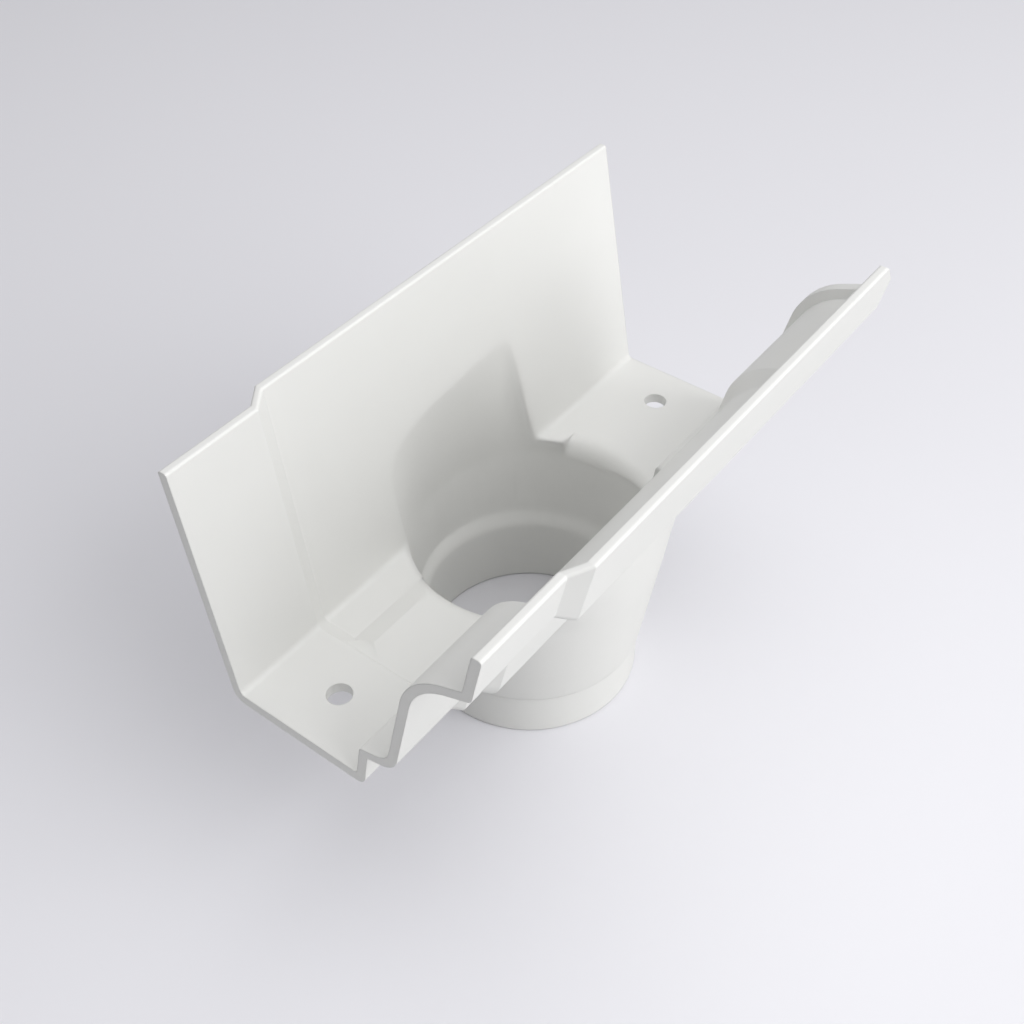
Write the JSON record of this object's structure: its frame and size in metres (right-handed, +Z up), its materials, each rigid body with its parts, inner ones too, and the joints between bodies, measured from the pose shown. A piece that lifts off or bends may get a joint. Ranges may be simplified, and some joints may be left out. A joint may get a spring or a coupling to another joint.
{
  "type": "gutter outlet",
  "caption": "Cast ogee gutter length with a spigot, a plain end and an oblong-to-round funnel dropping into a short round outlet pipe.",
  "frame": {"origin": "on the axis of the outlet pipe, at the pipe's lower end", "axes": "+X along the gutter from the spigot to the plain end, -Y towards the moulded front, +Z up"},
  "size_m": [0.2445, 0.1352, 0.176],
  "materials": {
    "coat": "off-white satin powder coat on cast aluminium"
  },
  "bodies": {
    "root": {"gutter_outlet": "coat"}
  },
  "joints": []
}
